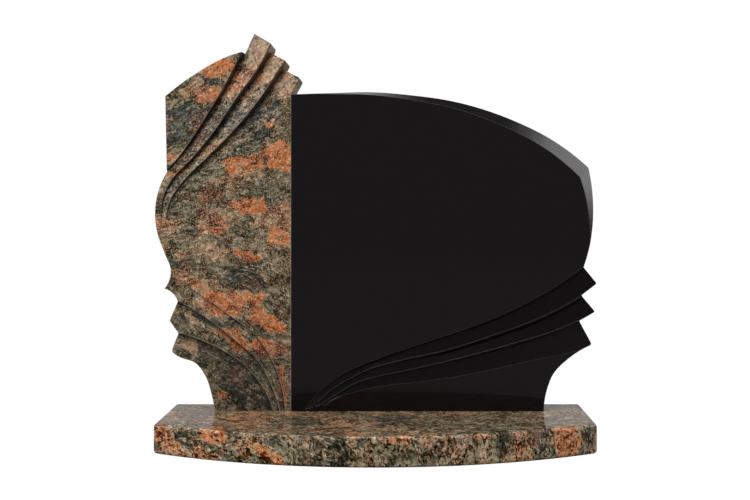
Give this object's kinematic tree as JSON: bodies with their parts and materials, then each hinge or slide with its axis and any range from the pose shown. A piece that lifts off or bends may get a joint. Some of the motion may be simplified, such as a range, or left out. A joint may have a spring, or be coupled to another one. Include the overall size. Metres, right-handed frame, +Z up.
{
  "type": "granite headstone",
  "caption": "Headstone for a grave: a carved gneiss side stele and a polished black slab, both with fanned ribbons, on a bow-fronted gneiss base.",
  "frame": {"origin": "on the ground, under the middle of the whole headstone's box", "axes": "+Z up; the faces of the uprights look along -Y; +X runs to the right, from the side stele to the slab"},
  "size_m": [1.2683, 0.47, 1.1691],
  "materials": {
    "gneiss": "polished multicolour gneiss, orange, grey and dark green",
    "black_granite": "polished black granite"
  },
  "bodies": {
    "root": {"base": "gneiss", "side_stele": "gneiss", "main_slab": "black_granite"}
  },
  "joints": []
}
